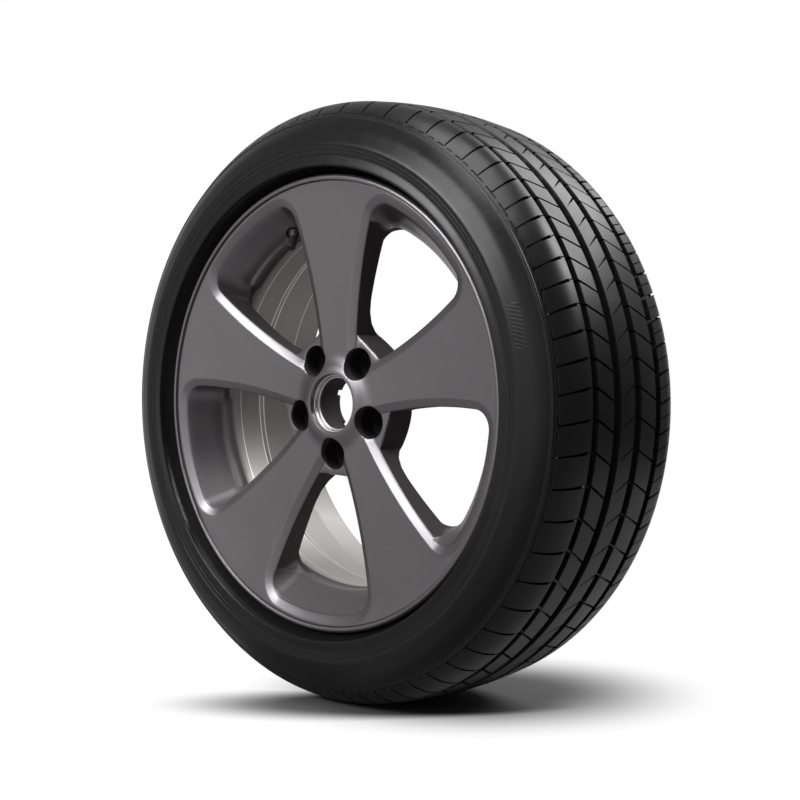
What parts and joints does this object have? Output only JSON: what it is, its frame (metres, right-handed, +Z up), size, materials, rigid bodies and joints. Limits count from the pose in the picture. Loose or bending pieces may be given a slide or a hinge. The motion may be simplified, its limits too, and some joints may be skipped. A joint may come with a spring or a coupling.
{
  "type": "car wheel with tyre",
  "caption": "Low-profile road tyre with a grooved and siped tread, seated on a cast alloy rim with wide flat spokes, a bevel round each window and a snap-in valve.",
  "frame": {"origin": "centre of the mounting face on the axle line", "axes": "-Y along the axle line towards the outer face, +Z up, the wheel standing on its tread, +X to the right seen from outside"},
  "size_m": [0.634, 0.223, 0.6317],
  "materials": {
    "tyre": "satin",
    "rim_paint": "painted, satin metallic",
    "valve_rubber": "matt",
    "brass": "turned",
    "steel": "drawn",
    "seal_rubber": "matt",
    "cap_plastic": "matt"
  },
  "bodies": {
    "wheel": {"tyre": "tyre", "rim": "rim_paint", "valve_body": "valve_rubber", "valve_stem": "brass", "core_plug": "brass", "core_seal": "seal_rubber", "core_spring": "steel"},
    "core_pin": {"core_pin": "steel", "core_cup": "brass"},
    "valve_cap": {"valve_cap": "cap_plastic", "cap_seal": "valve_rubber"}
  },
  "joints": [
    {"name": "pin_push", "type": "slide", "parent": "wheel", "child": "core_pin", "axis": [-0.3087, 0.5664, 0.7641], "range_m": [0, 0.001], "stiffness_N_per_m": 400, "springref_m": -0.004, "deforming": ["core_spring"]},
    {"name": "cap_off", "type": "slide", "parent": "wheel", "child": "valve_cap", "axis": [0.3087, -0.5664, -0.7641], "range_m": [0, 0.014]}
  ]
}
